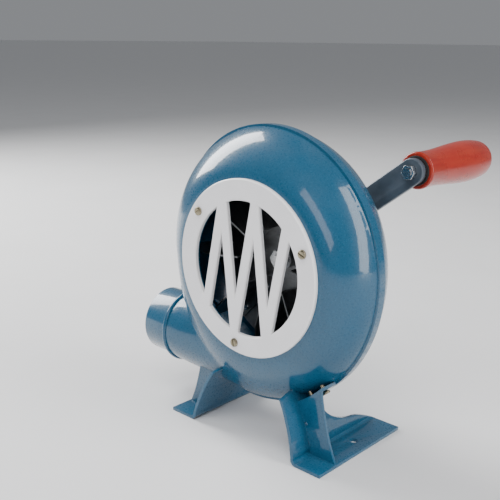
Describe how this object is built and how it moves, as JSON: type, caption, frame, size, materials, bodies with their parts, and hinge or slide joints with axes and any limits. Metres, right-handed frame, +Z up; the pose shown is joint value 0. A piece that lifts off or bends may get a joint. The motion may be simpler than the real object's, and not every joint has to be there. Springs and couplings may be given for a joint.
{
  "type": "hand-cranked forge blower",
  "caption": "Hand-cranked centrifugal forge blower: pressed scroll casing on feet, slotted inlet grille, round outlet, geared crank with turning grip.",
  "frame": {"origin": "midway between the two foot bolt holes, on the surface that the feet stand on", "axes": "+X right seen from the inlet side, +Y from the inlet to the crank along the fan axis, +Z up"},
  "size_m": [0.216, 0.2207, 0.2338],
  "materials": {
    "blue_enamel": "glossy blue enamel with a fine metallic speckle over pressed steel",
    "grille_plate": "satin pale grey paint on sheet steel, with bright cut edges",
    "screw_nickel": "yellow-passivated screw steel, slightly dulled",
    "cast_alloy": "as-cast light alloy, fine grain",
    "gasket_paper": "oiled gasket paper",
    "zinc_steel": "bright zinc-plated steel",
    "bush_bronze": "oil-filled sintered bronze",
    "ground_steel": "ground and lightly oiled steel",
    "sheet_steel": "mill-finish steel sheet, dull",
    "gear_steel": "hobbed steel with a film of grease",
    "arm_steel": "dark slate-grey coated flat bar, satin",
    "grip_plastic": "orange-red moulded plastic, glossy"
  },
  "bodies": {
    "housing": {"front_shell": "blue_enamel", "rear_shell": "blue_enamel", "outlet_sleeve": "blue_enamel", "inlet_grille": "grille_plate", "grille_screws": "screw_nickel", "right_foot": "blue_enamel", "left_foot": "blue_enamel", "foot_screws": "screw_nickel", "gearbox_base": "cast_alloy", "gearbox_gasket": "gasket_paper", "gearbox_cover": "blue_enamel", "gearbox_screws": "zinc_steel", "gearbox_nuts": "zinc_steel", "fan_bushes": "bush_bronze", "idler_bushes": "bush_bronze", "crank_bushes": "bush_bronze"},
    "crank": {"crank_shaft": "ground_steel", "crank_gear": "gear_steel", "crank_spacer": "ground_steel", "crank_arm": "arm_steel", "crank_washer": "zinc_steel", "crank_nut": "zinc_steel", "grip_spindle": "ground_steel", "grip_nut": "zinc_steel", "grip_washer": "zinc_steel"},
    "idler": {"idler_shaft": "ground_steel", "idler_gear": "gear_steel", "idler_pinion": "gear_steel"},
    "impeller": {"fan_shaft": "ground_steel", "fan_pinion": "gear_steel", "impeller_disc": "sheet_steel", "impeller_blades": "sheet_steel", "impeller_rivets": "zinc_steel", "impeller_hub": "sheet_steel", "impeller_nut": "zinc_steel"},
    "hand_grip": {"grip": "grip_plastic", "grip_cap": "grip_plastic"}
  },
  "joints": [
    {"name": "crank_spin", "type": "hinge", "parent": "housing", "child": "crank", "pos_m": [-0.0215, -0.052, 0.136], "axis": [0, 1, 0], "continuous": true},
    {"name": "idler_spin", "type": "hinge", "parent": "housing", "child": "idler", "pos_m": [0.01276, -0.052, 0.16115], "axis": [0, 1, 0], "continuous": true},
    {"name": "fan_spin", "type": "hinge", "parent": "housing", "child": "impeller", "pos_m": [0, -0.052, 0.134], "axis": [0, 1, 0], "continuous": true},
    {"name": "grip_spin", "type": "hinge", "parent": "crank", "child": "hand_grip", "pos_m": [0.06269, -0.052, 0.19875], "axis": [0, 1, 0], "continuous": true}
  ],
  "couplings": [
    {"joint": "idler_spin", "follows": "crank_spin", "ratio": -4.6667},
    {"joint": "fan_spin", "follows": "crank_spin", "ratio": 18.667}
  ]
}
